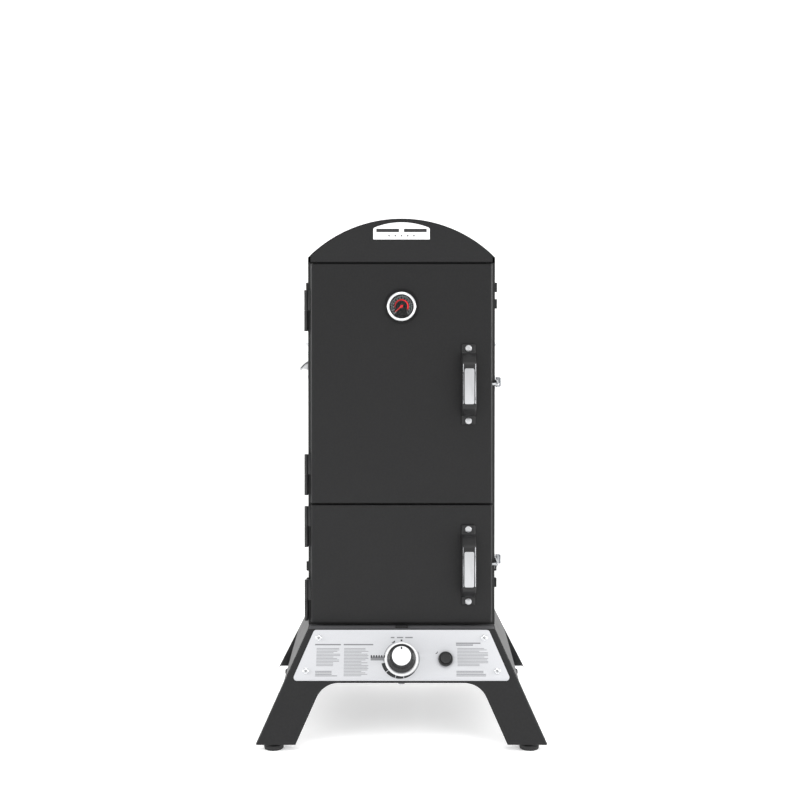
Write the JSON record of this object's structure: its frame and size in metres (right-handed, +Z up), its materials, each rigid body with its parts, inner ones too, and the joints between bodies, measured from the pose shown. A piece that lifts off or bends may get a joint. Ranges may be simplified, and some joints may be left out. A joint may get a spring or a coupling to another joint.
{
  "type": "vertical cabinet gas smoker",
  "caption": "Upright cabinet smoker with two hinged doors, dampers, wire grids, water bowl, chip box and a gas burner on a splayed sheet-metal base with a control plate.",
  "frame": {"origin": "middle of the footprint, on the floor", "axes": "+Z up, the front with the doors and control plate faces -Y, +X is the viewer's right"},
  "size_m": [0.6816, 0.65, 1.248],
  "materials": {
    "black_enamel": "satin powder coat",
    "black_plastic": "moulded",
    "handle_plastic": "moulded, fine grain",
    "hinge_black": "black",
    "bright_steel": "brushed",
    "zinc_screw": "plated",
    "cast_alloy": "cast",
    "brass": "turned",
    "knob_metal": "satin",
    "cast_iron": "cast",
    "seal": "woven tape",
    "badge": "satin",
    "bowl_enamel": "porcelain enamel",
    "dial": "printed",
    "pointer_red": "painted",
    "grid_chrome": "chrome plated wire"
  },
  "bodies": {
    "cabinet": {"base_front_panel": "black_enamel", "base_rear_panel": "black_enamel", "base_side_skirts": "black_enamel", "base_deck": "black_enamel", "levelling_feet": "black_plastic", "ledge_bumper": "black_plastic", "control_plate": "bright_steel", "control_plate_screws": "zinc_screw", "gas_valve": "cast_alloy", "igniter_housing": "black_plastic", "burner_tube": "bright_steel", "burner_head": "cast_iron", "left_wall": "black_enamel", "right_wall": "black_enamel", "back_wall": "black_enamel", "roof_panel": "black_enamel", "floor_pan": "black_enamel", "front_frame": "black_enamel", "door_seals": "seal", "hood_top": "black_enamel", "hood_fascia": "black_enamel", "badge_plate": "badge", "latch_bases": "bright_steel", "frame_hinges": "hinge_black", "damper_seats": "black_enamel", "damper_fasteners": "zinc_screw", "bottle_opener": "bright_steel", "side_fasteners": "zinc_screw", "shelf_supports": "zinc_screw", "cooking_grid_1": "grid_chrome", "cooking_grid_2": "grid_chrome", "cooking_grid_3": "grid_chrome", "cooking_grid_4": "grid_chrome", "water_bowl": "bowl_enamel", "chip_box": "cast_iron"},
    "upper_door": {"upper_door_skin": "black_enamel", "upper_door_liner": "black_enamel", "upper_door_hinges": "hinge_black", "upper_door_handle": "handle_plastic", "upper_handle_trim": "bright_steel", "gauge_case": "black_plastic", "gauge_bezel": "bright_steel", "gauge_dial": "dial"},
    "lower_door": {"lower_door_skin": "black_enamel", "lower_door_liner": "black_enamel", "lower_door_hinges": "hinge_black", "lower_door_handle": "handle_plastic", "lower_handle_trim": "bright_steel"},
    "pointer": {"gauge_pointer": "pointer_red"},
    "upper_latch": {"upper_latch_lever": "bright_steel"},
    "lower_latch": {"lower_latch_lever": "bright_steel"},
    "damper_upper_left": {"upper_left_damper": "black_enamel"},
    "damper_upper_right": {"upper_right_damper": "black_enamel"},
    "damper_lower_left": {"lower_left_damper": "black_enamel"},
    "damper_lower_right": {"lower_right_damper": "black_enamel"},
    "stem": {"valve_stem": "brass"},
    "knob": {"knob_skirt": "black_plastic", "knob_cap": "knob_metal"},
    "igniter": {"igniter_button": "black_plastic"},
    "chip_lid": {"chip_box_lid": "cast_iron"}
  },
  "joints": [
    {"name": "upper_door_swing", "type": "hinge", "parent": "cabinet", "child": "upper_door", "pos_m": [-0.2324, -0.1655, 0.847], "axis": [0, 0, -1], "range_deg": [0, 125]},
    {"name": "lower_door_swing", "type": "hinge", "parent": "cabinet", "child": "lower_door", "pos_m": [-0.2324, -0.1655, 0.407], "axis": [0, 0, -1], "range_deg": [0, 125]},
    {"name": "pointer_turn", "type": "hinge", "parent": "upper_door", "child": "pointer", "pos_m": [0, -0.18, 1.035], "axis": [0, 1, 0], "range_deg": [0, 260]},
    {"name": "upper_latch_lift", "type": "hinge", "parent": "cabinet", "child": "upper_latch", "pos_m": [0.233, -0.117, 0.8452], "axis": [-1, 0, 0], "range_deg": [0, 60]},
    {"name": "lower_latch_lift", "type": "hinge", "parent": "cabinet", "child": "lower_latch", "pos_m": [0.233, -0.117, 0.405], "axis": [-1, 0, 0], "range_deg": [0, 60]},
    {"name": "upper_left_damper_turn", "type": "hinge", "parent": "cabinet", "child": "damper_upper_left", "pos_m": [-0.2314, 0, 1.057], "axis": [1, 0, 0], "range_deg": [0, 60]},
    {"name": "upper_right_damper_turn", "type": "hinge", "parent": "cabinet", "child": "damper_upper_right", "pos_m": [0.2314, 0, 1.057], "axis": [1, 0, 0], "range_deg": [0, 60]},
    {"name": "lower_left_damper_turn", "type": "hinge", "parent": "cabinet", "child": "damper_lower_left", "pos_m": [-0.2314, 0, 0.344], "axis": [1, 0, 0], "range_deg": [0, 60]},
    {"name": "lower_right_damper_turn", "type": "hinge", "parent": "cabinet", "child": "damper_lower_right", "pos_m": [0.2314, 0, 0.344], "axis": [1, 0, 0], "range_deg": [0, 60]},
    {"name": "knob_push", "type": "slide", "parent": "cabinet", "child": "stem", "axis": [0, 0.8861, -0.4635], "range_m": [0, 0.004], "stiffness_N_per_m": 900, "springref_m": -0.002},
    {"name": "knob_turn", "type": "hinge", "parent": "stem", "child": "knob", "pos_m": [0, -0.25155, 0.19958], "axis": [0, -0.8861, 0.4635], "range_deg": [0, 270]},
    {"name": "igniter_push", "type": "slide", "parent": "cabinet", "child": "igniter", "axis": [0, 0.8861, -0.4635], "range_m": [0, 0.005], "stiffness_N_per_m": 500, "springref_m": -0.002},
    {"name": "chip_lid_lift", "type": "hinge", "parent": "cabinet", "child": "chip_lid", "pos_m": [0, 0.102, 0.375], "axis": [-1, 0, 0], "range_deg": [0, 45]}
  ]
}
